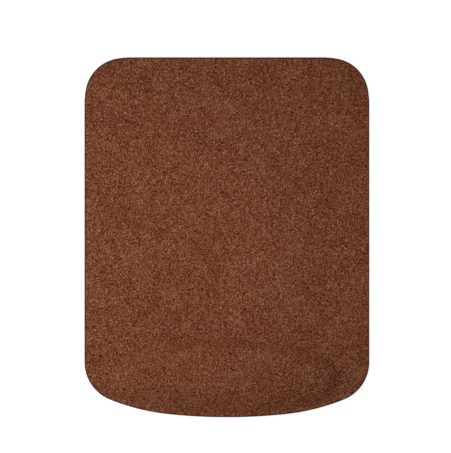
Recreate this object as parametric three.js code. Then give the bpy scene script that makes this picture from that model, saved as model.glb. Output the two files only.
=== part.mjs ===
import * as THREE from 'three';

// A portrait mouse pad with a gel wrist rest along the user's edge, in millimetres.
// X runs across the pad, Y from the user's edge to the back edge, and Z up from the desk.
// The origin is the middle of the pad on the desk.

const fullTurn = 2 * Math.PI;
const halfTurn = fullTurn / 2;
const quarterTurn = fullTurn / 4;
const middleLineWidth = 1e-6;

// Plan of the pad
const padWidth = 190;
const padLength = 240;
const backCornerRadius = 25.4;
const backLeadRadius = 58.6;
const backLeadAngle = THREE.MathUtils.degToRad(9.9);
const frontBowRadius = 372;
const frontBowAngle = THREE.MathUtils.degToRad(6);
const frontShoulderRadius = 145;
const frontCornerRadius = 27;

// Layers, from the desk up
const gripThickness = 1.1;
const baseBondThickness = 0.1;
const foamThickness = 1.9;
const topBondThickness = 0.1;
const sealFilmThickness = 0.12;
const backingFilmThickness = 0.12;
const fabricThickness = 0.66;

// Cut edge: the steel rule die leans the edge in as it rises, and its pinch rolls the fabric's rim down
const dieLeanShare = 0.12;
const rimRollWidth = 0.8;
const rimRollDropShare = 0.75;

// Plan of the wrist rest
const restSideMargin = 19.5;
const restFrontMargin = 1.8;
const restEndRadius = 19;
const restBackBow = 10;

// Form of the wrist rest: slopes, a shoulder and a low crown, all of which fall towards the ends
const shoulderRise = 7.8;
const crownRise = 1.2;
const endFallShare = 0.42;
const backSlopeWidth = 12;
const endSlopeWidth = 10;
const frontSlopeWidth = 20;
const toeShare = 0.33;
const frontToeShare = 0.1;
const flankShare = 0.3;
const slopeReachShare = 0.85;
const crownReachShare = 0.8;

// Wave tread moulded into the underside
const treadDepth = 0.4;
const treadPitch = 9.6;
const treadWaveLength = 40;
const treadWaveHeight = 3;
const treadMouthWidth = 2.6;
const treadFloorWidth = 1.8;
const treadMargin = 4;

// How finely round stretches are faceted
const cornerSteps = 10;
const leadSteps = 2;
const bowSteps = 3;
const restBackSteps = 6;
const restEndSteps = 11;
const toeSteps = 3;
const shoulderSteps = 4;
const crownSteps = 2;
const treadStepsPerWave = 8;
const treadEndSteps = 4;

// A skin of triangles that closes round one body. Loops run anticlockwise seen from above.
class Skin {
  constructor() {
    this.places = [];
    this.faces = [];
  }

  // Adds a closed loop of plan points, all at one height or each raised by its own rise
  loop(points, height) {
    return points.map(({ x, y, rise = 0 }) => {
      this.places.push(x, y, height + rise);
      return this.places.length / 3 - 1;
    });
  }

  triangle(a, b, c, up) {
    this.faces.push(...(up ? [a, b, c] : [a, c, b]));
  }

  // Joins two loops of as many points; the diagonals of the left half mirror those of the right
  band(outer, inner, up = true) {
    const count = outer.length;
    outer.forEach((a, i) => {
      const b = outer[(i + 1) % count];
      const c = inner[(i + 1) % count];
      const d = inner[i];
      const mirrored = i >= count / 2;
      this.triangle(a, b, mirrored ? d : c, up);
      this.triangle(mirrored ? b : a, c, d, up);
    });
  }

  // Fills a loop, round any holes
  fill(rim, holes = [], up = true) {
    const flat = (index) => new THREE.Vector2(this.places[3 * index], this.places[3 * index + 1]);
    const order = [rim, ...holes].flat();
    const triangles = THREE.ShapeUtils.triangulateShape(rim.map(flat), holes.map((hole) => hole.map(flat)));
    for (const corners of triangles) {
      const [a, b, c] = corners.map((corner) => order[corner]);
      const turnsLeft = flat(b).sub(flat(a)).cross(flat(c).sub(flat(a))) > 0;
      this.triangle(a, b, c, turnsLeft === up);
    }
  }

  // Closes a symmetric loop with rungs that join its front half to its back half
  closeAcross(loop, up = true) {
    const count = loop.length;
    const back = count / 2;
    for (let i = 0; i + 1 < back - i; i += 1) {
      for (const side of [1, -1]) {
        const corners = [i, i + 1, back - i - 1, back - i].map((k) => loop[(count + side * k) % count]);
        const [a, b, c, d] = corners;
        this.triangle(a, b, d, up === side > 0);
        if (b !== c) {
          this.triangle(b, c, d, up === side > 0);
        }
      }
    }
  }

  geometry() {
    const geometry = new THREE.BufferGeometry();
    geometry.setAttribute('position', new THREE.Float32BufferAttribute(this.places, 3));
    geometry.setIndex(this.faces);
    geometry.computeVertexNormals();
    return geometry;
  }
}

// A point of an arc. Its heading is the direction of travel, anticlockwise from +X.
function arcPoint(arc, heading, inset) {
  const radius = arc.radius - inset;
  return {
    x: arc.x + radius * Math.sin(heading),
    y: arc.y - radius * Math.cos(heading),
    heading,
  };
}

// A symmetric closed loop. Each run is a chain of tangent arcs on the right-hand half, from front to back.
function mirroredLoop(runs, inset = 0) {
  const right = runs.flatMap((run) => [
    arcPoint(run[0], run[0].from, inset),
    ...run.flatMap((arc) => Array.from({ length: arc.steps }, (_, i) => {
      const share = (i + 1) / arc.steps;
      return arcPoint(arc, THREE.MathUtils.lerp(arc.from, arc.to, share), inset);
    })),
  ]);
  const offMiddle = right.filter(({ x }) => x > middleLineWidth).reverse();
  const left = offMiddle.map(({ x, y, heading }) => ({ x: -x, y, heading: fullTurn - heading }));
  return [...right, ...left];
}

// The arc that goes on from another at a heading, with a radius of its own
function nextArc(arc, from, radius) {
  const shift = arc.radius - radius;
  return { x: arc.x + shift * Math.sin(from), y: arc.y - shift * Math.cos(from), radius, from };
}

// The bowed front edge: a long bow about the middle line, then a rounder shoulder
function frontArcs() {
  const bow = {
    x: 0,
    y: frontBowRadius - padLength / 2,
    radius: frontBowRadius,
    from: 0,
    to: frontBowAngle,
    steps: bowSteps,
  };
  const shoulder = { ...nextArc(bow, bow.to, frontShoulderRadius), steps: bowSteps };
  return [bow, shoulder];
}

// The outline of the pad: the front edge turns into straight sides, and the back corners ease in and out
function padRuns() {
  const [bow, shoulder] = frontArcs();
  const reach = padWidth / 2 - frontCornerRadius - shoulder.x;
  shoulder.to = Math.asin(reach / (frontShoulderRadius - frontCornerRadius));
  const frontCorner = nextArc(shoulder, shoulder.to, frontCornerRadius);
  const easing = backLeadRadius - backCornerRadius;
  const leadX = padWidth / 2 - backLeadRadius;
  const leadY = padLength / 2 - backLeadRadius;
  const sideLead = {
    x: leadX,
    y: leadY + easing * (Math.cos(backLeadAngle) - Math.sin(backLeadAngle)),
    radius: backLeadRadius,
    from: quarterTurn,
    to: quarterTurn + backLeadAngle,
    steps: leadSteps,
  };
  const backCorner = nextArc(sideLead, sideLead.to, backCornerRadius);
  backCorner.to = halfTurn - backLeadAngle;
  const backLead = nextArc(backCorner, backCorner.to, backLeadRadius);
  return [
    [bow, shoulder, { ...frontCorner, to: quarterTurn, steps: cornerSteps }],
    [sideLead, { ...backCorner, steps: cornerSteps }, { ...backLead, to: halfTurn, steps: leadSteps }],
  ];
}

// The outline of the pad at a height above the desk, or inside it by an inset
const padLoop = (height, inset = 0) => mirroredLoop(padRuns(), dieLeanShare * height + inset);

// The outline of the wrist rest: it follows the front edge, turns round its ends and bows towards the back
function restArcs() {
  const [bow, shoulder] = frontArcs();
  bow.radius -= restFrontMargin;
  shoulder.radius -= restFrontMargin;
  const reach = shoulder.radius - restEndRadius;
  const endX = padWidth / 2 - restSideMargin - restEndRadius;
  shoulder.to = Math.asin((endX - shoulder.x) / reach);
  const end = nextArc(shoulder, shoulder.to, restEndRadius);
  const rise = restEndRadius + restBackBow;
  const backRadius = (endX ** 2 + rise ** 2 - restEndRadius ** 2) / (2 * restBackBow);
  const back = { x: 0, y: end.y + rise - backRadius, radius: backRadius, to: halfTurn, steps: restBackSteps };
  back.from = halfTurn - Math.asin(endX / (backRadius - restEndRadius));
  end.to = back.from;
  end.steps = restEndSteps;
  return [bow, shoulder, end, back];
}

// Where on the spine, the line between the middles of its ends, a point of the outline faces, as an X
function spineX({ x, heading }, end) {
  const backwards = heading > quarterTurn && heading < fullTurn - quarterTurn;
  const joint = arcPoint(end, backwards ? end.to : end.from, 0);
  return end.x * THREE.MathUtils.clamp(x / joint.x, -1, 1);
}

// The profile of the rest from its toe to its crown, above one point of its outline, as distance and height:
// a toe that curves up out of the flat, a straight flank, a shoulder that curves back level, and the crown
function slopeProfile(heading, length) {
  const towardsBack = -Math.cos(heading);
  const backPart = Math.max(towardsBack, 0) ** 2;
  const frontPart = Math.min(towardsBack, 0) ** 2;
  const endPart = 1 - backPart - frontPart;
  const wanted = backPart * backSlopeWidth + endPart * endSlopeWidth + frontPart * frontSlopeWidth;
  const width = Math.min(wanted, slopeReachShare * length);
  const toeWidth = width * THREE.MathUtils.lerp(toeShare, frontToeShare, frontPart);
  const shoulderWidth = width * (1 - flankShare) - toeWidth;
  const flankSlope = 2 * shoulderRise / (width * (1 + flankShare));
  const toe = Array.from({ length: toeSteps + 1 }, (_, i) => {
    const distance = toeWidth * i / toeSteps;
    return [distance, flankSlope * distance ** 2 / (2 * toeWidth)];
  });
  const shoulder = Array.from({ length: shoulderSteps + 1 }, (_, i) => {
    const left = shoulderWidth * (1 - i / shoulderSteps);
    return [width - left, shoulderRise - flankSlope * left ** 2 / (2 * shoulderWidth)];
  });
  const crown = Array.from({ length: crownSteps }, (_, i) => {
    const share = crownReachShare * (i + 1) / crownSteps;
    return [THREE.MathUtils.lerp(width, length, share), shoulderRise];
  });
  return [...toe, ...shoulder, ...crown].map(([distance, climb]) => {
    const crownShare = Math.sin(quarterTurn * distance / length) ** 2;
    return { distance, rise: climb + crownRise * crownShare };
  });
}

// The rest's form as loops of points, from its toe to its crown
function restRings() {
  const arcs = restArcs();
  const end = arcs[2];
  const tipX = end.x + end.radius;
  const columns = mirroredLoop([arcs]).map((toe) => {
    const faced = spineX(toe, end);
    const length = Math.hypot(faced - toe.x, end.y - toe.y);
    return slopeProfile(toe.heading, length).map(({ distance, rise }) => {
      const x = THREE.MathUtils.lerp(toe.x, faced, distance / length);
      const y = THREE.MathUtils.lerp(toe.y, end.y, distance / length);
      return { x, y, rise: rise * (1 - endFallShare * (x / tipX) ** 2) };
    });
  });
  return columns[0].map((_, ring) => columns.map((column) => column[ring]));
}

// Adds a flat face with the rest's form standing in it
function formedFace(skin, rim, rings, height, up) {
  const loops = rings.map((ring) => skin.loop(ring, height));
  skin.fill(rim, [loops[0]], up);
  for (let i = 1; i < loops.length; i += 1) {
    skin.band(loops[i - 1], loops[i], up);
  }
  skin.closeAcross(loops.at(-1), up);
}

// A sheet formed over the rest. Its loops are drawn from its own underside, at the height of its level.
function formedSheet({ level, thickness }, rollWidth = 0, rollDrop = 0) {
  const skin = new Skin();
  const rings = restRings();
  const top = level + thickness;
  const lowerRim = skin.loop(padLoop(level), 0);
  const upperRim = skin.loop(padLoop(top), thickness - rollDrop);
  formedFace(skin, lowerRim, rings, 0, false);
  skin.band(lowerRim, upperRim);
  if (rollWidth > 0) {
    const rollEnd = skin.loop(padLoop(top, rollWidth), thickness);
    skin.band(upperRim, rollEnd);
    formedFace(skin, rollEnd, rings, thickness, true);
  } else {
    formedFace(skin, upperRim, rings, thickness, true);
  }
  return skin.geometry();
}

// A sheet that is flat on both faces
function flatSheet({ level, thickness }) {
  const skin = new Skin();
  const lowerRim = skin.loop(padLoop(level), 0);
  const upperRim = skin.loop(padLoop(level + thickness), thickness);
  skin.fill(lowerRim, [], false);
  skin.band(lowerRim, upperRim);
  skin.fill(upperRim);
  return skin.geometry();
}

// The gel: flat below, and from its thin border up to its crown it fills the formed sheets above it
function gelBody() {
  const skin = new Skin();
  const [, border, ...rings] = restRings();
  const foot = skin.loop(border.map(({ x, y }) => ({ x, y })), 0);
  let loop = skin.loop(border, 0);
  skin.fill(foot, [], false);
  skin.band(foot, loop);
  for (const ring of rings) {
    const next = skin.loop(ring, 0);
    skin.band(loop, next);
    loop = next;
  }
  skin.closeAcross(loop);
  return skin.geometry();
}

// Whether a plan point lies inside a loop
function isInside(x, y, loop) {
  return loop.reduce((inside, a, i) => {
    const b = loop[(i + 1) % loop.length];
    const crosses = (a.y > y) !== (b.y > y) && x < a.x + (b.x - a.x) * (y - a.y) / (b.y - a.y);
    return crosses ? !inside : inside;
  }, false);
}

// The middle line of the tread's wave whose crest at X = 0 lies at a given Y
function waveLine(crestY, room) {
  const step = treadWaveLength / treadStepsPerWave;
  const waveNumber = fullTurn / treadWaveLength;
  const right = [];
  for (let x = step / 2; x < padWidth / 2; x += step) {
    const y = crestY - treadWaveHeight * (1 - Math.cos(waveNumber * x));
    if (!isInside(x, y, room)) {
      break;
    }
    right.push({ x, y, slope: -treadWaveHeight * waveNumber * Math.sin(waveNumber * x) });
  }
  if (right.length < treadStepsPerWave) {
    return [];
  }
  const left = right.map(({ x, y, slope }) => ({ x: -x, y, slope: -slope }));
  return [...left.reverse(), ...right];
}

// A groove's outline at one depth: its two sides and its round ends
function grooveLoop(line, width) {
  const sidePoint = ({ x, y, slope }, side) => {
    const angle = Math.atan(slope) + side;
    return { x: x + width / 2 * Math.cos(angle), y: y + width / 2 * Math.sin(angle) };
  };
  const endPoints = (point, start) => Array.from({ length: treadEndSteps - 1 }, (_, i) => {
    return sidePoint(point, start + halfTurn * (i + 1) / treadEndSteps);
  });
  return [
    ...line.map((point) => sidePoint(point, -quarterTurn)),
    ...endPoints(line.at(-1), -quarterTurn),
    ...[...line].reverse().map((point) => sidePoint(point, quarterTurn)),
    ...endPoints(line[0], quarterTurn),
  ];
}

// The tread's waves, row by row over the underside
function treadLines() {
  const room = mirroredLoop(padRuns(), treadMargin + treadMouthWidth / 2);
  const rows = Math.ceil(padLength / 2 / treadPitch);
  const lines = [];
  for (let row = -rows; row < rows; row += 1) {
    lines.push(waveLine((row + 1 / 2) * treadPitch, room));
  }
  return lines.filter((line) => line.length > 0);
}

// The grip base: a sheet with the tread's grooves in its underside
function gripBody({ level, thickness }) {
  const skin = new Skin();
  const lowerRim = skin.loop(padLoop(level), 0);
  const upperRim = skin.loop(padLoop(level + thickness), thickness);
  const mouths = treadLines().map((line) => {
    const mouth = skin.loop(grooveLoop(line, treadMouthWidth), 0);
    const floor = skin.loop(grooveLoop(line, treadFloorWidth), treadDepth);
    skin.band(mouth, floor, false);
    skin.fill(floor, [], false);
    return mouth;
  });
  skin.fill(lowerRim, mouths, false);
  skin.band(lowerRim, upperRim);
  skin.fill(upperRim);
  return skin.geometry();
}

// Finishes
const brushedFabric = () => new THREE.MeshStandardMaterial({ color: 0x6c3f2b, roughness: 0.95 });
const clearFilm = () => new THREE.MeshStandardMaterial({ color: 0xd9d4c8, roughness: 0.35 });
const meltFilm = () => new THREE.MeshStandardMaterial({ color: 0xc9c3b0, roughness: 0.5 });
const softGel = () => new THREE.MeshStandardMaterial({ color: 0x9fb4bd, roughness: 0.2 });
const blackFoam = () => new THREE.MeshStandardMaterial({ color: 0x1d1b1a, roughness: 0.9 });
const blackRubber = () => new THREE.MeshStandardMaterial({ color: 0x151413, roughness: 0.7 });

// The stack, from the desk up: each layer lies on the one before it
const layers = [
  { name: 'grip_base', thickness: gripThickness, shape: gripBody, finish: blackRubber },
  { name: 'base_bond_film', thickness: baseBondThickness, shape: flatSheet, finish: meltFilm },
  { name: 'foam_sheet', thickness: foamThickness, shape: flatSheet, finish: blackFoam },
  { name: 'top_bond_film', thickness: topBondThickness, shape: flatSheet, finish: meltFilm },
  { name: 'seal_film', thickness: sealFilmThickness, shape: flatSheet, finish: clearFilm },
  { name: 'gel_core', thickness: 0, shape: gelBody, finish: softGel },
  { name: 'backing_film', thickness: backingFilmThickness, shape: formedSheet, finish: clearFilm },
  {
    name: 'cover_fabric',
    thickness: fabricThickness,
    shape: (layer) => formedSheet(layer, rimRollWidth, rimRollDropShare * fabricThickness),
    finish: brushedFabric,
  },
];

const mousePad = new THREE.Group();
let level = 0;
for (const { name, thickness, shape, finish } of layers) {
  const mesh = new THREE.Mesh(shape({ level, thickness }), finish());
  mesh.name = name;
  mesh.position.z = level;
  mousePad.add(mesh);
  level += thickness;
}

export default mousePad;
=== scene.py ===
"""Dresses the mouse pad: a brushed fabric over a gel wrist rest, foam and a wave-treaded rubber base."""
import math

import bpy
import numpy as np
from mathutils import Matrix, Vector
from mathutils.geometry import delaunay_2d_cdt


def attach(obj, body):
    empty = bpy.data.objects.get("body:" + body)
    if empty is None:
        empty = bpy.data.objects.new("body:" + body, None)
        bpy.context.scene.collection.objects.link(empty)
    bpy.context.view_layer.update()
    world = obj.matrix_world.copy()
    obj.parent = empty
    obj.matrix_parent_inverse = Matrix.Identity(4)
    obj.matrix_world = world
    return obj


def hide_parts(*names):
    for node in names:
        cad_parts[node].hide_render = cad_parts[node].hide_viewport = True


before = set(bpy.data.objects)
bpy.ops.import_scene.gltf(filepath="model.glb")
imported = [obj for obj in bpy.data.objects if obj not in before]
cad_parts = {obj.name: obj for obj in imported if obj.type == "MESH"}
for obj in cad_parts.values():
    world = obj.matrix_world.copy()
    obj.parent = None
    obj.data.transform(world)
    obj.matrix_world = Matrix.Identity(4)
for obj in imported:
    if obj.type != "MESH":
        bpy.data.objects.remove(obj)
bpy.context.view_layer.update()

# Lengths are in millimetres until a mesh is made
MM = 0.001
QUARTER_TURN = math.pi / 2
HALF_TURN = math.pi
FULL_TURN = 2 * math.pi
MIDDLE_LINE_WIDTH = 1e-6
JOIN_GAP = 1e-7

# Plan of the pad
PAD_WIDTH = 190
PAD_LENGTH = 240
BACK_CORNER_RADIUS = 25.4
BACK_LEAD_RADIUS = 58.6
BACK_LEAD_ANGLE = math.radians(9.9)
FRONT_BOW_RADIUS = 372
FRONT_BOW_ANGLE = math.radians(6)
FRONT_SHOULDER_RADIUS = 145
FRONT_CORNER_RADIUS = 27

# Layers, from the desk up
GRIP_THICKNESS = 1.1
BOND_THICKNESS = 0.1
FOAM_THICKNESS = 1.9
FILM_THICKNESS = 0.12
FABRIC_THICKNESS = 0.66
FOAM_LEVEL = GRIP_THICKNESS + BOND_THICKNESS
GEL_LEVEL = FOAM_LEVEL + FOAM_THICKNESS + BOND_THICKNESS + FILM_THICKNESS
FABRIC_LEVEL = GEL_LEVEL + FILM_THICKNESS
FABRIC_TOP = FABRIC_LEVEL + FABRIC_THICKNESS

# Cut edge: the die leans it in, rolls the fabric's rim down and leaves the foam hollow
DIE_LEAN_SHARE = 0.12
RIM_ROLL_WIDTH = 0.8
RIM_ROLL_DROP = 0.5
FOAM_HOLLOW = 0.18

# Plan of the wrist rest, whose crest lies further back than the middles of its round ends
REST_SIDE_MARGIN = 19.5
REST_FRONT_MARGIN = 1.8
REST_END_RADIUS = 19
REST_BACK_BOW = 10
CREST_SETBACK = 9

# Form of the wrist rest: slopes, a shoulder and a low crown, all lower towards the ends. The front slope
# takes up a share of the way to the crest, and no slope more than its reach
SHOULDER_RISE = 7.8
CROWN_RISE = 0.6
END_FALL_SHARE = 0.36
BACK_SLOPE_WIDTH = 12
END_SLOPE_WIDTH = 10
FRONT_SLOPE_SHARE = 0.62
TOE_SHARE = 0.33
FRONT_TOE_SHARE = 0.1
FLANK_SHARE = 0.3
SLOPE_REACH_SHARE = 0.9
CROWN_REACH_SHARE = 0.92

# Settling of the cover over the gel, inside a bonded margin round the toe
MARGIN_REACH = 4
MARGIN_SHARE = 0.35
SETTLE_CAP = 0.5
SETTLE_STEPS = 20
SETTLE_PRESSURE = 4

# Loose fibres: their number to a square metre, length, width, lean and the spread of their headings
NAP_FIBRES = (500000, 1.1, 0.09, math.radians(72), math.radians(60))
EDGE_FIBRES = (3000000, 0.45, 0.06, math.radians(50), HALF_TURN)
LEAN_SPREAD = math.radians(14)
SHORTEST_SHARE = 0.6
NAP_DEPTH = 0.3

# Wave tread
TREAD_DEPTH = 0.4
TREAD_PITCH = 9.6
TREAD_WAVE_LENGTH = 40
TREAD_WAVE_HEIGHT = 3
TREAD_MOUTH_WIDTH = 2.6
TREAD_FLOOR_WIDTH = 1.8
TREAD_MARGIN = 4
TREAD_WALL_STEPS = 6

# The name of a piece's own map; the fibres' follows the plan
FIBRE_MAP = "OFBake"

# How near each point of the cover lies to its cut rim, from 0 to 1; painted shade darkens the dye there
RIM_SHADE_MARK = "pinch"

# How finely round stretches are faceted
CORNER_STEPS = 30
LEAD_STEPS = 6
BOW_STEPS = 14
REST_BACK_STEPS = 28
REST_END_STEPS = 40
MARGIN_STEPS = 3
TOE_STEPS = 8
SHOULDER_STEPS = 12
CROWN_STEPS = 6
RIM_STEPS = 5
EDGE_STEPS = 6
FLAT_GRID = 8
TREAD_STEPS_PER_WAVE = 24
TREAD_END_STEPS = 10

# The photograph's frame, in pixels, and the scale of the desk in it
FRAME_WIDTH_PX = 451
FRAME_HEIGHT_PX = 453
PAD_MIDDLE_X_PX = 226.85
PAD_MIDDLE_Y_PX = 237.3
MM_PER_PX = 0.6668
LENS_MM = 300
SENSOR_MM = 36

# Soft boxes as place, size and power, in metres and watts, and the fill from all round
SOFT_BOXES = (
    ((-0.19, -0.02, 0.26), 0.3, 0.9),
    ((0.03, 0.01, 0.27), 0.2, 0.42),
    ((-0.9, -0.17, 0.12), 0.2, 3.1),
    ((0.9, -0.3, 0.12), 0.2, 1.3),
    ((-0.3, 0.35, -0.25), 0.3, 4),
)
FILL_STRENGTH = 0.255
FLOOR_COLOUR = (0.35, 0.35, 0.35, 1)
FLOOR_GLOW = 0.8
FLOOR_SIDE = 6000
FLOOR_LAP = 1.5
FLOOR_DROP = 0.02

# Brightness of the flecks and of the loose fibres, and how far the dye shifts each channel from it, all in
# 255ths of white on the screen
FLECK_LEVELS = (22, 47, 72, 98, 128)
NAP_LEVELS = (70, 125)
DYE_SHIFTS = (34.6, -11.2, -31.4)
SCREEN_GAMMA = 2.2
LIGHT_ON_FABRIC = 1.33

# Flecks, their clumps and the fabric's clouds: size in millimetres, and share in the tone
FLECK_SIZE = 0.5
CLUMP_SIZE = 0.9
CLOUD_SIZE = 14
FLECK_SHARE = 1.1
CLUMP_SHARE = 1.4
CLOUD_SHARE = 0.26

# Painted shade over the dye: darker and warmer on steep slopes, and darker along the cover's cut rim; and
# painted shade over the films at the cut edge
SLOPE_SHADE_TINT = (1, 0.92, 0.81)
RIM_SHADE_TINT = (0.34, 0.28, 0.25)
FILM_EDGE_SHADE = (0.25, 0.22, 0.2)
PLAIN = (1, 1, 1)


class Arc:
    """An arc walked anticlockwise; a heading is the direction of travel from +X."""

    def __init__(self, x, y, radius, start, end=None, steps=1):
        self.x, self.y, self.radius, self.start, self.end, self.steps = x, y, radius, start, end, steps

    def at(self, heading, inset=0):
        radius = self.radius - inset
        return self.x + radius * math.sin(heading), self.y - radius * math.cos(heading), heading

    def onward(self, heading, radius, end=None, steps=1):
        """The tangent arc of another radius that goes on from a heading."""
        shift = self.radius - radius
        x, y = self.x + shift * math.sin(heading), self.y - shift * math.cos(heading)
        return Arc(x, y, radius, heading, end, steps)


def mirrored_loop(runs, inset=0):
    """A symmetric closed loop of (x, y, heading) from runs of tangent arcs on the right, front to back."""
    right = []
    for run in runs:
        right.append(run[0].at(run[0].start, inset))
        for arc in run:
            turn = (arc.end - arc.start) / arc.steps
            right += [arc.at(arc.start + turn * (i + 1), inset) for i in range(arc.steps)]
    left = [(-x, y, FULL_TURN - heading) for x, y, heading in reversed(right) if x > MIDDLE_LINE_WIDTH]
    return right + left


def front_arcs(inset=0):
    """The front's bow and rounder shoulder, which the pad and, further in, its wrist rest follow."""
    bow = Arc(0, FRONT_BOW_RADIUS - PAD_LENGTH / 2, FRONT_BOW_RADIUS, 0, FRONT_BOW_ANGLE, BOW_STEPS)
    shoulder = bow.onward(FRONT_BOW_ANGLE, FRONT_SHOULDER_RADIUS, steps=BOW_STEPS)
    bow.radius -= inset
    shoulder.radius -= inset
    return bow, shoulder


def pad_runs():
    """The right half of the pad's outline: front corner and back corner, with a straight side between."""
    bow, shoulder = front_arcs()
    reach = PAD_WIDTH / 2 - FRONT_CORNER_RADIUS - shoulder.x
    shoulder.end = math.asin(reach / (FRONT_SHOULDER_RADIUS - FRONT_CORNER_RADIUS))
    front_corner = shoulder.onward(shoulder.end, FRONT_CORNER_RADIUS, QUARTER_TURN, CORNER_STEPS)
    easing = BACK_LEAD_RADIUS - BACK_CORNER_RADIUS
    lead_x, lead_y = PAD_WIDTH / 2 - BACK_LEAD_RADIUS, PAD_LENGTH / 2 - BACK_LEAD_RADIUS
    lead_y += easing * (math.cos(BACK_LEAD_ANGLE) - math.sin(BACK_LEAD_ANGLE))
    lead_end = QUARTER_TURN + BACK_LEAD_ANGLE
    side_lead = Arc(lead_x, lead_y, BACK_LEAD_RADIUS, QUARTER_TURN, lead_end, LEAD_STEPS)
    corner_end = HALF_TURN - BACK_LEAD_ANGLE
    back_corner = side_lead.onward(lead_end, BACK_CORNER_RADIUS, corner_end, CORNER_STEPS)
    back_lead = back_corner.onward(corner_end, BACK_LEAD_RADIUS, HALF_TURN, LEAD_STEPS)
    return [[bow, shoulder, front_corner], [side_lead, back_corner, back_lead]]


def pad_loop(height, inset=0):
    """The pad's outline at a height; the die leans the cut edge in as it rises."""
    return mirrored_loop(pad_runs(), DIE_LEAN_SHARE * height + inset)


def rest_arcs():
    """The right half of the wrist rest's outline, from the front's middle round its end to the back's."""
    bow, shoulder = front_arcs(REST_FRONT_MARGIN)
    end_x = PAD_WIDTH / 2 - REST_SIDE_MARGIN - REST_END_RADIUS
    shoulder.end = math.asin((end_x - shoulder.x) / (shoulder.radius - REST_END_RADIUS))
    end = shoulder.onward(shoulder.end, REST_END_RADIUS, steps=REST_END_STEPS)
    rise = REST_END_RADIUS + REST_BACK_BOW
    back_radius = (end_x**2 + rise**2 - REST_END_RADIUS**2) / (2 * REST_BACK_BOW)
    end.end = HALF_TURN - math.asin(end_x / (back_radius - REST_END_RADIUS))
    back = Arc(0, end.y + rise - back_radius, back_radius, end.end, HALF_TURN, REST_BACK_STEPS)
    return bow, shoulder, end, back


def slope_profile(heading, length):
    """Distance and rise from the toe to the crown of the wrist rest, above one point of its outline."""
    towards_back = -math.cos(heading)
    back_part, front_part = max(towards_back, 0) ** 2, min(towards_back, 0) ** 2
    end_part = 1 - back_part - front_part
    front_width = FRONT_SLOPE_SHARE * length
    wanted = back_part * BACK_SLOPE_WIDTH + end_part * END_SLOPE_WIDTH + front_part * front_width
    width = min(wanted, SLOPE_REACH_SHARE * length)
    toe_width = width * (TOE_SHARE + (FRONT_TOE_SHARE - TOE_SHARE) * front_part)
    shoulder_width = width * (1 - FLANK_SHARE) - toe_width
    climb = 2 * SHOULDER_RISE / (width * (1 + FLANK_SHARE))
    profile = []
    for i in range(TOE_STEPS + 1):
        distance = toe_width * i / TOE_STEPS
        profile.append((distance, climb * distance**2 / (2 * toe_width)))
    for i in range(SHOULDER_STEPS + 1):
        distance = shoulder_width * (1 - i / SHOULDER_STEPS)
        profile.append((width - distance, SHOULDER_RISE - climb * distance**2 / (2 * shoulder_width)))
    for i in range(CROWN_STEPS):
        share = CROWN_REACH_SHARE * (i + 1) / CROWN_STEPS
        profile.append((width + (length - width) * share, SHOULDER_RISE))
    return [(d, z + CROWN_RISE * math.sin(QUARTER_TURN * d / length) ** 2) for d, z in profile]


def inside(points, loop):
    """Which of some plan points lie inside a loop."""
    x, y = np.array(points)[:, :2].T[:, :, None]
    start = np.array(loop)[:, :2]
    (ax, ay), (bx, by) = start.T, np.roll(start, -1, axis=0).T
    crosses = (ay > y) != (by > y)
    rise = np.where(ay == by, 1, by - ay)
    return (crosses & (x < ax + (bx - ax) * (y - ay) / rise)).sum(axis=1) % 2 == 1


def between(points, outlines):
    """Which of some plan points lie inside the first outline and outside the others."""
    found = inside(points, outlines[0])
    for hole in outlines[1:]:
        found &= ~inside(points, hole)
    return found


def gaps(points, loop):
    """The distance from each plan point to the nearest corner of a loop."""
    return np.linalg.norm(np.array(points)[:, None, :2] - np.array(loop)[None, :, :2], axis=2).min(axis=1)


def rest_rings():
    """The wrist rest's form as loops of (x, y, rise), from the flat margin round it to its crown."""
    arcs = rest_arcs()
    end = arcs[2]
    tip_x = end.x + end.radius
    spine_y = end.y + CREST_SETBACK
    toe = mirrored_loop([arcs])
    margins = gaps(toe, pad_loop(FABRIC_TOP, RIM_ROLL_WIDTH))
    columns = []
    for (x, y, heading), margin in zip(toe, margins):
        joint = end.at(end.end if math.cos(heading) < 0 else end.start)[0]
        spine_x = end.x * max(-1, min(1, x / joint))
        length = math.hypot(spine_x - x, spine_y - y)
        reach = min(MARGIN_REACH, MARGIN_SHARE * margin)
        column = []
        for i in range(MARGIN_STEPS, 0, -1):
            offset = reach * i / MARGIN_STEPS
            column.append((x + offset * math.sin(heading), y - offset * math.cos(heading), 0))
        for d, rise in slope_profile(heading, length):
            inner_x, inner_y = x + (spine_x - x) * d / length, y + (spine_y - y) * d / length
            column.append((inner_x, inner_y, rise * (1 - END_FALL_SHARE * (inner_x / tip_x) ** 2)))
        columns.append(column)
    return [list(ring) for ring in zip(*columns)]


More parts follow.
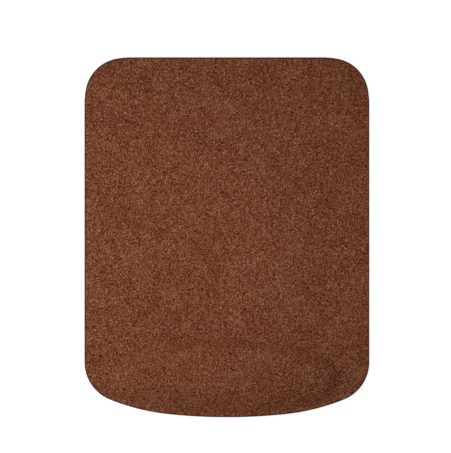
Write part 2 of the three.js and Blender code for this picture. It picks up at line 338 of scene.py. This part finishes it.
class Skin:
    """Triangles and quads that close round one piece. Loops run anticlockwise seen from above."""

    def __init__(self):
        self.places, self.faces = [], []

    def loop(self, points, height):
        first = len(self.places)
        self.places += [(x, y, height + rise) for x, y, rise in points]
        return list(range(first, len(self.places)))

    def flat_loop(self, points, height):
        return self.loop([(x, y, 0) for x, y, _ in points], height)

    def band(self, outer, inner, up=True):
        for i in range(len(outer)):
            j = (i + 1) % len(outer)
            face = (outer[i], outer[j], inner[j], inner[i])
            self.faces.append(face if up else face[::-1])

    def bands(self, loops, up=True):
        for outer, inner in zip(loops, loops[1:]):
            self.band(outer, inner, up)

    def fill(self, rim, holes=(), up=True, grid=None):
        """Fills a level loop, round any holes, on a grid of inner points where one is asked for."""
        rings = [rim, *holes]
        known = [i for ring in rings for i in ring]
        plan = [Vector(self.places[i][:2]) for i in known]
        edges, outlines, start = [], [], 0
        for ring in rings:
            edges += [(start + i, start + (i + 1) % len(ring)) for i in range(len(ring))]
            outlines.append(plan[start:start + len(ring)])
            start += len(ring)
        if grid:
            plan += grid_points(outlines, grid)
        points, _, triangles, sources, _, _ = delaunay_2d_cdt(plan, edges, [], 1, JOIN_GAP)
        height = self.places[rim[0]][2]
        index = []
        for point, origin in zip(points, sources):
            old = [o for o in origin if o < len(known)]
            if not old:
                self.places.append((point.x, point.y, height))
            index.append(known[old[0]] if old else len(self.places) - 1)
        corners = np.array(points)[np.array(triangles)]
        across, along = corners[:, 1] - corners[:, 0], corners[:, 2] - corners[:, 0]
        turns_left = across[:, 0] * along[:, 1] - across[:, 1] * along[:, 0] > 0
        for triangle, wanted, left in zip(triangles, between(corners.mean(axis=1), outlines), turns_left):
            if wanted:
                face = tuple(index[corner] for corner in triangle)
                self.faces.append(face if left == up else face[::-1])

    def close_across(self, loop, up=True):
        """Closes a symmetric loop with rungs that join its front half to its back half."""
        back = len(loop) // 2
        for i in range(back // 2):
            for side in (1, -1):
                face = [loop[side * k % len(loop)] for k in (i, i + 1, back - i - 1, back - i)]
                face = list(dict.fromkeys(face))
                self.faces.append(face if up == (side > 0) else face[::-1])

    def piece(self, name, finish=None, smooth=True):
        mesh = bpy.data.meshes.new(name)
        mesh.from_pydata([[v * MM for v in p] for p in self.places], [], self.faces)
        mesh.materials.append(finish)
        mesh.validate()
        mesh.polygons.foreach_set("use_smooth", [smooth] * len(mesh.polygons))
        obj = bpy.data.objects.new(name, mesh)
        bpy.context.collection.objects.link(obj)
        return obj


def grid_points(outlines, pitch):
    """Points of a staggered grid that lie inside an outline and clear of its edge and holes."""
    columns, rows = int(PAD_WIDTH / pitch), int(PAD_LENGTH / pitch)
    across, along = range(-columns, columns + 1), range(-rows, rows + 1)
    crossings = [(i, j) for i in across for j in along if (i + j) % 2 == 0]
    points = np.array(crossings) * pitch / 2
    edge = [corner for outline in outlines for corner in outline]
    clear = between(points, outlines) & (gaps(points, edge) > pitch / 3)
    return [Vector(point) for point in points[clear]]


def settled(rings):
    """The rings of the rest once its cover, a cloth bonded round the toe, has settled over the gel."""
    skin = Skin()
    loops = [skin.loop(ring, 0) for ring in rings]
    skin.bands(loops)
    skin.close_across(loops[-1])
    cloth = skin.piece("settling_cover")
    bonded = cloth.vertex_groups.new(name="bonded")
    bonded.add([i for loop in loops[:MARGIN_STEPS + 1] for i in loop], 1, "REPLACE")
    settling = cloth.modifiers.new("settling", "CLOTH")
    settling.settings.vertex_group_mass = "bonded"
    settling.settings.use_pressure = True
    settling.settings.uniform_pressure_force = SETTLE_PRESSURE
    settling.settings.effector_weights.gravity = 0
    settling.point_cache.frame_end = SETTLE_STEPS
    for step in range(1, SETTLE_STEPS + 1):
        bpy.context.scene.frame_set(step)
    result = cloth.evaluated_get(bpy.context.evaluated_depsgraph_get()).data
    moves = [moved.co / MM - Vector(place) for moved, place in zip(result.vertices, skin.places)]
    bpy.context.scene.frame_set(1)
    bpy.data.objects.remove(cloth)
    largest = max(move.length for move in moves)
    print("settling: largest move", round(largest, 3), "mm before its cap")
    share = min(1, SETTLE_CAP / largest)
    return [[tuple(Vector(skin.places[i]) + share * moves[i]) for i in loop] for loop in loops]


def formed_face(skin, rim, rings, height, up, grid=None):
    """A level face inside a rim, with the wrist rest standing in it."""
    loops = [skin.loop(ring, height) for ring in rings]
    skin.fill(rim, [loops[0]], up, grid)
    skin.bands(loops, up)
    skin.close_across(loops[-1], up)


def formed_sheet(name, rings, level, thickness, finish, roll=0, drop=0):
    """A sheet formed over the rest, with its upper edge rolled down where the die pinched it."""
    skin = Skin()
    top = level + thickness
    lower = skin.flat_loop(pad_loop(level), level)
    formed_face(skin, lower, rings, level, False)
    edge = [lower, skin.flat_loop(pad_loop(top), top - drop)]
    for i in range(RIM_STEPS if roll else 0):
        angle = QUARTER_TURN * (i + 1) / RIM_STEPS
        inset, height = roll * (1 - math.cos(angle)), top - drop * (1 - math.sin(angle))
        edge.append(skin.flat_loop(pad_loop(top, inset), height))
    skin.bands(edge)
    formed_face(skin, edge[-1], rings, top, True, FLAT_GRID)
    return skin.piece(name, finish)


def mark_rim_shade(cover):
    """Marks each point of a cover by how near it lies to the cut rim, from 0 to 1, for the painted rim
    shade.
    """
    places = np.array([vertex.co for vertex in cover.data.vertices]) / MM
    rim_shade = 1 - gaps(places, pad_loop(FABRIC_TOP)) / RIM_ROLL_WIDTH
    cover.data.attributes.new(RIM_SHADE_MARK, "FLOAT", "POINT").data.foreach_set("value", rim_shade.clip(0, 1))


def foam_block(finish):
    """The foam, whose cut edge is hollow where the die squeezed it."""
    skin = Skin()
    edge = []
    for i in range(EDGE_STEPS + 1):
        share = i / EDGE_STEPS
        level = FOAM_LEVEL + FOAM_THICKNESS * share
        edge.append(skin.flat_loop(pad_loop(level, FOAM_HOLLOW * math.sin(HALF_TURN * share)), level))
    skin.fill(edge[0], up=False)
    skin.bands(edge)
    skin.fill(edge[-1])
    return skin.piece("foam_block", finish)


def gel_body(rings, finish):
    """The gel: flat below, and filling the formed sheets above it."""
    skin = Skin()
    rings = rings[MARGIN_STEPS + TOE_STEPS // 2:]
    loops = [skin.flat_loop(rings[0], GEL_LEVEL)] + [skin.loop(ring, GEL_LEVEL) for ring in rings]
    skin.fill(loops[0], up=False)
    skin.bands(loops)
    skin.close_across(loops[-1])
    return skin.piece("gel_body", finish)


def wave_line(crest_y, room):
    """The middle line of one wave of the tread, as (x, y, slope)."""
    step = TREAD_WAVE_LENGTH / TREAD_STEPS_PER_WAVE
    wave_number = FULL_TURN / TREAD_WAVE_LENGTH
    right = []
    x = step / 2
    while x < PAD_WIDTH / 2:
        y = crest_y - TREAD_WAVE_HEIGHT * (1 - math.cos(wave_number * x))
        if not inside([(x, y)], room)[0]:
            break
        right.append((x, y, -TREAD_WAVE_HEIGHT * wave_number * math.sin(wave_number * x)))
        x += step
    if len(right) < TREAD_STEPS_PER_WAVE:
        return []
    return [(-x, y, -slope) for x, y, slope in reversed(right)] + right


def groove_loop(line, width):
    """A groove's outline at one depth: its two sides and its round ends."""
    def beside(point, side):
        angle = math.atan(point[2]) + side
        return point[0] + width / 2 * math.cos(angle), point[1] + width / 2 * math.sin(angle), 0

    def round_end(point, start):
        return [beside(point, start + HALF_TURN * i / TREAD_END_STEPS) for i in range(1, TREAD_END_STEPS)]

    there = [beside(point, -QUARTER_TURN) for point in line]
    back = [beside(point, QUARTER_TURN) for point in reversed(line)]
    return there + round_end(line[-1], -QUARTER_TURN) + back + round_end(line[0], QUARTER_TURN)


def groove_walls():
    """The width and depth of the loops down a groove, from its mouth to its rounded floor."""
    flare = TREAD_MOUTH_WIDTH - TREAD_FLOOR_WIDTH
    walls = []
    for i in range(TREAD_WALL_STEPS + 1):
        angle = HALF_TURN * i / TREAD_WALL_STEPS
        width = TREAD_FLOOR_WIDTH + flare * (1 + math.cos(angle)) / 2
        walls.append((width, TREAD_DEPTH * (angle - math.sin(angle) * math.cos(angle)) / HALF_TURN))
    return walls


def grip_sole(finish):
    """The rubber base, with a wave tread moulded into its underside."""
    skin = Skin()
    room = mirrored_loop(pad_runs(), TREAD_MARGIN + TREAD_MOUTH_WIDTH / 2)
    rows = math.ceil(PAD_LENGTH / 2 / TREAD_PITCH)
    mouths = []
    for row in range(-rows, rows):
        line = wave_line((row + 1 / 2) * TREAD_PITCH, room)
        if line:
            loops = [skin.loop(groove_loop(line, width), depth) for width, depth in groove_walls()]
            skin.bands(loops, False)
            skin.fill(loops[-1], up=False)
            mouths.append(loops[0])
    lower = skin.flat_loop(pad_loop(0), 0)
    upper = skin.flat_loop(pad_loop(GRIP_THICKNESS), GRIP_THICKNESS)
    skin.fill(lower, mouths, False)
    skin.band(lower, upper)
    skin.fill(upper)
    return skin.piece("grip_sole", finish, False)


def fibre_tree(finish):
    """Scatters pointed fibres over a surface; each leans over towards its own heading."""
    tree = bpy.data.node_groups.new("fibres", "GeometryNodeTree")
    sizes = ("Density", "Length", "Width", "Lean", "Spread")
    tree.interface.new_socket("Ground", in_out="INPUT", socket_type="NodeSocketGeometry")
    for name in sizes:
        tree.interface.new_socket(name, in_out="INPUT", socket_type="NodeSocketFloat")
    tree.interface.new_socket("Seed", in_out="INPUT", socket_type="NodeSocketInt")
    tree.interface.new_socket("Fibres", in_out="OUTPUT", socket_type="NodeSocketGeometry")
    given = tree.nodes.new("NodeGroupInput").outputs

    def node(kind, settings=None, sockets=None):
        made = tree.nodes.new(kind)
        for key, value in (settings or {}).items():
            setattr(made, key, value)
        for key, value in (sockets or {}).items():
            if isinstance(value, bpy.types.NodeSocket):
                tree.links.new(value, made.inputs[key])
            else:
                made.inputs[key].default_value = value
        return made.outputs

    def maths(operation, first, second):
        return node("ShaderNodeMath", {"operation": operation}, {0: first, 1: second})[0]

    def drawn(low, high, seed):
        sockets = {2: low, 3: high, "Seed": maths("ADD", given["Seed"], seed)}
        return node("FunctionNodeRandomValue", None, sockets)[1]

    spots = node("GeometryNodeDistributePointsOnFaces", None, {
        "Mesh": given["Ground"], "Density": given["Density"], "Seed": given["Seed"],
    })
    fibre = node("GeometryNodeMeshCone", {"fill_type": "NGON"}, {
        "Vertices": 3, "Side Segments": 1, "Radius Top": 0.0, "Depth": given["Length"],
        "Radius Bottom": maths("DIVIDE", given["Width"], 2.0),
    })
    upright = node("FunctionNodeAlignRotationToVector", {"axis": "Z"}, {"Vector": spots["Normal"]})
    heading = drawn(maths("MULTIPLY", given["Spread"], -1.0), given["Spread"], 1)
    spun = node("FunctionNodeRotateRotation", {"rotation_space": "LOCAL"}, {
        0: upright[0], 1: node("ShaderNodeCombineXYZ", None, {"Z": heading})[0],
    })
    least_lean = maths("SUBTRACT", given["Lean"], LEAN_SPREAD)
    lean = drawn(least_lean, maths("ADD", given["Lean"], LEAN_SPREAD), 2)
    leant = node("FunctionNodeRotateRotation", {"rotation_space": "LOCAL"}, {
        0: spun[0], 1: node("ShaderNodeCombineXYZ", None, {"X": lean})[0],
    })
    placed = node("GeometryNodeInstanceOnPoints", None, {
        "Points": spots["Points"], "Instance": fibre["Mesh"], "Rotation": leant[0],
        "Scale": drawn(SHORTEST_SHARE, 1.0, 3),
    })
    whole = node("GeometryNodeRealizeInstances", None, {0: placed[0]})
    dressed = node("GeometryNodeSetMaterial", None, {"Geometry": whole[0], "Material": finish})
    tree.links.new(dressed[0], tree.nodes.new("NodeGroupOutput").inputs["Fibres"])
    return tree


def on_face(middle, normal):
    """Whether a face of the cover is on the nap's side."""
    return normal.z > 0 and middle.z > FABRIC_TOP - NAP_DEPTH


def on_cut_edge(middle, normal):
    """Whether a face of the cover is on its cut edge or on the roll above it."""
    return abs(normal.z) < 1 / 2 and middle.z < FABRIC_TOP


def fibres(name, tree, piece, wanted, sizes, seed):
    """Fibres on those faces of a piece that a test of their middle, in millimetres, and normal picks."""
    mesh = bpy.data.meshes.new(name)
    faces = [tuple(face.vertices) for face in piece.data.polygons if wanted(face.center / MM, face.normal)]
    mesh.from_pydata([vertex.co for vertex in piece.data.vertices], [], faces)
    obj = bpy.data.objects.new(name, mesh)
    bpy.context.collection.objects.link(obj)
    growth = obj.modifiers.new("growth", "NODES")
    growth.node_group = tree
    density, length, width, lean, spread = sizes
    values = {
        "Density": float(density), "Length": length * MM, "Width": width * MM,
        "Lean": lean, "Spread": spread, "Seed": seed,
    }
    for socket in tree.interface.items_tree:
        if socket.name in values:
            growth[socket.identifier] = values[socket.name]
    graph = bpy.context.evaluated_depsgraph_get()
    grown = bpy.data.meshes.new_from_object(obj.evaluated_get(graph))
    obj.modifiers.remove(growth)
    obj.data = grown
    grown.name = name
    plan = np.empty(len(grown.vertices) * 3)
    grown.vertices.foreach_get("co", plan)
    corners = np.empty(len(grown.loops), int)
    grown.loops.foreach_get("vertex_index", corners)
    across = plan.reshape(-1, 3)[corners, :2] / (np.array([PAD_WIDTH, PAD_LENGTH]) * MM) + 1 / 2
    grown.uv_layers.new(name=FIBRE_MAP).uv.foreach_set("vector", across.ravel())
    return obj


class Number:
    """A number or vector socket in a material, so that shader maths reads as Python."""

    def __init__(self, finish, socket):
        self.finish, self.socket = finish, socket

    def maths(self, operation, *values):
        return self.finish.node("ShaderNodeMath", {"operation": operation}, dict(enumerate(values)))

    def __add__(self, other):
        return self.maths("ADD", self, other)

    def __sub__(self, other):
        return self.maths("SUBTRACT", self, other)

    def __mul__(self, other):
        return self.maths("MULTIPLY", self, other)

    def __rsub__(self, other):
        return self.maths("SUBTRACT", other, self)

    __radd__ = __add__
    __rmul__ = __mul__


class Finish:
    """A material and the nodes that make it."""

    def __init__(self, name, **sockets):
        self.material = bpy.data.materials.new(name)
        self.material.use_nodes = True
        self.tree = self.material.node_tree
        self.tree.nodes.clear()
        self.shader = self.tree.nodes.new("ShaderNodeBsdfPrincipled")
        output = self.tree.nodes.new("ShaderNodeOutputMaterial")
        self.tree.links.new(self.shader.outputs[0], output.inputs[0])
        for socket, value in sockets.items():
            self.set(socket.replace("_", " ").title().replace("Ior", "IOR"), value)

    def node(self, kind, settings=None, sockets=None, output=0):
        node = self.tree.nodes.new(kind)
        for key, value in (settings or {}).items():
            if key == "stops":
                self.set_stops(node.color_ramp, value)
            else:
                setattr(node, key, value)
        for key, value in (sockets or {}).items():
            self.feed(node.inputs[key], value)
        return Number(self, node.outputs[output])

    @staticmethod
    def set_stops(ramp, stops):
        while len(ramp.elements) < len(stops):
            ramp.elements.new(1)
        for element, (place, colour) in zip(ramp.elements, stops):
            element.position = place
            element.color = (*colour, 1)

    def feed(self, socket, value):
        if isinstance(value, Number):
            self.tree.links.new(value.socket, socket)
        else:
            socket.default_value = value

    def set(self, socket, value):
        self.feed(self.shader.inputs[socket], value)

    def place(self, stretch=(1, 1, 1)):
        """Object coordinates in millimetres, stretched."""
        coords = self.node("ShaderNodeTexCoord", output="Object")
        scale = tuple(share / MM for share in stretch)
        return self.node("ShaderNodeMapping", None, {"Vector": coords, "Scale": scale})

    def noise(self, size, detail=0, roughness=0.5, stretch=(1, 1, 1)):
        """Noise whose features are about one size across, in millimetres."""
        return self.node("ShaderNodeTexNoise", None, {
            "Vector": self.place(stretch), "Scale": 1 / size, "Detail": detail, "Roughness": roughness,
        })

    def cells(self, size, stretch=(1, 1, 1)):
        """A random number for each cell of a size."""
        sockets = {"Vector": self.place(stretch), "Scale": 1 / size}
        colour = self.node("ShaderNodeTexVoronoi", None, sockets, "Color")
        return self.node("ShaderNodeSeparateColor", None, {0: colour})

    def ramp(self, value, stops):
        return self.node("ShaderNodeValToRGB", {"stops": stops}, {0: value})

    def tinted(self, colour, tint):
        return self.node("ShaderNodeVectorMath", {"operation": "MULTIPLY"}, {0: colour, 1: tint})

    def facing_up(self):
        """How squarely the surface faces up, from -1 to 1."""
        normal = self.node("ShaderNodeNewGeometry", output="Normal")
        return self.node("ShaderNodeSeparateXYZ", None, {0: normal}, "Z")

    def painted_edge_shade(self):
        """White on level faces, and painted shade on a cut edge, which lies between black foam and dyed
        cloth.
        """
        up = self.facing_up()
        return self.ramp(up * up, [(0.2, FILM_EDGE_SHADE), (0.8, PLAIN)])

    def bump(self, height, strength, distance):
        sockets = {"Height": height, "Strength": strength, "Distance": distance * MM}
        self.set("Normal", self.node("ShaderNodeBump", None, sockets))


def fleck_colour(level):
    """The dyed colour of a fleck that shows at a brightness on the screen."""
    channels = [max(level + shift, 1) / 255 for shift in DYE_SHIFTS]
    return tuple(channel**SCREEN_GAMMA / LIGHT_ON_FABRIC for channel in channels)


def brushed_fabric():
    """Short brushed fibres in bright and dark flecks, clumped and a little cloudy; painted shade on slopes
    and rim.
    """
    sheen = (0.8, 0.5, 0.36, 1)
    finish = Finish(
        "brushed_fabric", roughness=0.95, specular_ior_level=0, sheen_weight=0.12, sheen_tint=sheen
    )
    spread = [(0, (0,) * 3), (0.12, (0.34,) * 3), (0.88, (0.66,) * 3), (1, (1,) * 3)]
    flecks = finish.ramp(finish.cells(FLECK_SIZE, stretch=(1.25, 0.95, 1)), spread)
    clumps = finish.noise(CLUMP_SIZE, detail=2, roughness=0.6, stretch=(1.2, 0.92, 1))
    cloudy = finish.noise(CLOUD_SIZE, detail=3, roughness=0.6)
    tone = 0.5 + FLECK_SHARE * (flecks - 0.5) + CLUMP_SHARE * (clumps - 0.5) + CLOUD_SHARE * (cloudy - 0.5)
    last = len(FLECK_LEVELS) - 1
    dye = finish.ramp(tone, [(i / last, fleck_colour(level)) for i, level in enumerate(FLECK_LEVELS)])
    # Painted shade: the dye turns darker and warmer where the cloth slopes away from facing up
    slope = 1 - finish.facing_up()
    painted_slope_shade = finish.ramp(slope, [(0.02, PLAIN), (0.3, SLOPE_SHADE_TINT)])
    hues = finish.ramp(finish.noise(7, detail=2), [(0.3, (1, 0.97, 1.03)), (0.7, (1, 1.03, 0.97))])
    # Painted shade: the dye darkens towards the cover's cut rim, across the width of its roll
    pinch = finish.node("ShaderNodeAttribute", {"attribute_name": RIM_SHADE_MARK}, output="Fac")
    rim_shade = finish.ramp(pinch, [(0, PLAIN), (1, RIM_SHADE_TINT)])
    colour = dye
    for tint in (painted_slope_shade, hues, rim_shade):
        colour = finish.tinted(colour, tint)
    finish.set("Base Color", colour)
    finish.bump(tone, strength=0.4, distance=0.08)
    return finish.material


def nap_fibre():
    """Single fibres of the same yarn that stand clear of the nap and catch more light."""
    finish = Finish("nap_fibre", roughness=0.9, specular_ior_level=0, sheen_weight=0.1)
    dull, bright = (fleck_colour(level) for level in NAP_LEVELS)
    finish.set("Base Color", finish.ramp(finish.noise(1.6, detail=1), [(0.35, dull), (0.65, bright)]))
    return finish.material


def black_foam():
    """Fine open cells, seen at the cut edge."""
    finish = Finish("black_foam", roughness=0.95, specular_ior_level=0.05)
    cells = finish.noise(0.35, detail=2)
    finish.set("Base Color", finish.ramp(cells, [(0.3, (0.006,) * 3), (0.7, (0.022,) * 3)]))
    finish.bump(cells, strength=0.6, distance=0.15)
    return finish.material


def black_rubber():
    """Moulded rubber with a fine, slightly uneven grain."""
    finish = Finish("black_rubber", roughness=0.7, specular_ior_level=0.15)
    grain = finish.noise(0.5, detail=3)
    finish.set("Base Color", finish.ramp(grain, [(0.3, (0.016,) * 3), (0.7, (0.032,) * 3)]))
    finish.set("Roughness", 0.55 + 0.25 * grain)
    finish.bump(grain, strength=0.4, distance=0.05)
    return finish.material


def melt_film():
    """Hot-melt film: milky, and a little matted where it was drawn into the sheets beside it."""
    finish = Finish("melt_film", roughness=0.5, alpha=0.7)
    matting = finish.noise(3, detail=3)
    milky = finish.ramp(matting, [(0.3, (0.5, 0.47, 0.38)), (0.7, (0.62, 0.59, 0.5))])
    # Painted shade darkens the film's cut edge
    finish.set("Base Color", finish.tinted(milky, finish.painted_edge_shade()))
    finish.set("Roughness", 0.35 + 0.3 * matting)
    return finish.material


def clear_film():
    """Thin, faintly clouded film."""
    finish = Finish("clear_film", roughness=0.3, alpha=0.45)
    clouds = finish.ramp(finish.noise(6, detail=2), [(0.3, (0.7, 0.67, 0.6)), (0.7, (0.8, 0.78, 0.7))])
    # Painted shade darkens the film's cut edge
    finish.set("Base Color", finish.tinted(clouds, finish.painted_edge_shade()))
    return finish.material


def soft_gel():
    """Clear, wet-looking gel with pale clouds in it."""
    finish = Finish("soft_gel", roughness=0.12, alpha=0.65)
    clouds = finish.ramp(finish.noise(9, detail=2), [(0.3, (0.3, 0.4, 0.46)), (0.7, (0.4, 0.5, 0.55))])
    finish.set("Base Color", clouds)
    return finish.material


def floor_sheet():
    """A pale floor, open under the pad so that its underside can be seen from below."""
    finish = Finish("floor", roughness=0.9, base_color=FLOOR_COLOUR, emission_strength=FLOOR_GLOW)
    finish.set("Emission Color", (1, 1, 1, 1))
    skin = Skin()
    side = FLOOR_SIDE / 2
    rim = skin.loop([(-side, -side, 0), (side, -side, 0), (side, side, 0), (-side, side, 0)], -FLOOR_DROP)
    opening = skin.flat_loop(pad_loop(0, FLOOR_LAP), -FLOOR_DROP)
    skin.fill(rim, [opening])
    skin.piece("floor", finish.material, False)


def studio():
    """Soft boxes turned towards the pad, in an even white surround."""
    world = bpy.data.worlds.new("studio")
    bpy.context.scene.world = world
    world.use_nodes = True
    fill = world.node_tree.nodes["Background"]
    fill.inputs["Color"].default_value = (1, 1, 1, 1)
    fill.inputs["Strength"].default_value = FILL_STRENGTH
    for place, size, power in SOFT_BOXES:
        light = bpy.data.lights.new("soft_box", "AREA")
        light.size = size
        light.energy = power
        lamp = bpy.data.objects.new("soft_box", light)
        lamp.location = place
        lamp.rotation_euler = (-lamp.location).to_track_quat("-Z", "Y").to_euler()
        lamp.visible_camera = False
        bpy.context.collection.objects.link(lamp)
    bpy.context.scene.view_settings.view_transform = "Standard"


def camera_above():
    """A long lens straight above the desk, placed so that the pad lies where the photograph has it."""
    data = bpy.data.cameras.new("camera")
    data.lens = LENS_MM
    data.sensor_width = SENSOR_MM
    data.sensor_fit = "HORIZONTAL"
    camera = bpy.data.objects.new("camera", data)
    height = FRAME_WIDTH_PX * MM_PER_PX * LENS_MM / SENSOR_MM
    x = (FRAME_WIDTH_PX / 2 - PAD_MIDDLE_X_PX) * MM_PER_PX
    y = (PAD_MIDDLE_Y_PX - FRAME_HEIGHT_PX / 2) * MM_PER_PX
    camera.location = Vector((x, y, height)) * MM
    bpy.context.collection.objects.link(camera)
    bpy.context.scene.camera = camera


def dress(obj, slot, *nodes):
    """Attaches a piece to the root and hides the nodes of the frame that it stands for. The slot is not
    used.
    """
    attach(obj, "root")
    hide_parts(*nodes)


camera_above()
studio()
floor_sheet()

form = settled(rest_rings())
film = clear_film()

cloth = formed_sheet(
    "cover_cloth", form, FABRIC_LEVEL, FABRIC_THICKNESS, brushed_fabric(), RIM_ROLL_WIDTH, RIM_ROLL_DROP
)
# Marks the rim for its painted shade
mark_rim_shade(cloth)
dress(cloth, "cover_fabric", "cover_fabric")

tree = fibre_tree(nap_fibre())
nap = fibres("nap_fibres", tree, cloth, on_face, NAP_FIBRES, seed=5)
fuzz = fibres("edge_fuzz", tree, cloth, on_cut_edge, EDGE_FIBRES, seed=8)
for loose in (nap, fuzz):
    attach(loose, "root")

dress(formed_sheet("backing_skin", form, GEL_LEVEL, FILM_THICKNESS, film), "clear_film", "backing_film")

gel = gel_body(form, soft_gel())
dress(gel, "gel", "gel_core")

foam = foam_block(black_foam())
dress(foam, "foam", "foam_sheet")

dress(grip_sole(black_rubber()), "grip_rubber", "grip_base")

bond = melt_film()
for node, finish in (("base_bond_film", bond), ("top_bond_film", bond), ("seal_film", film)):
    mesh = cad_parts[node].data
    mesh.materials.clear()
    mesh.materials.append(finish)
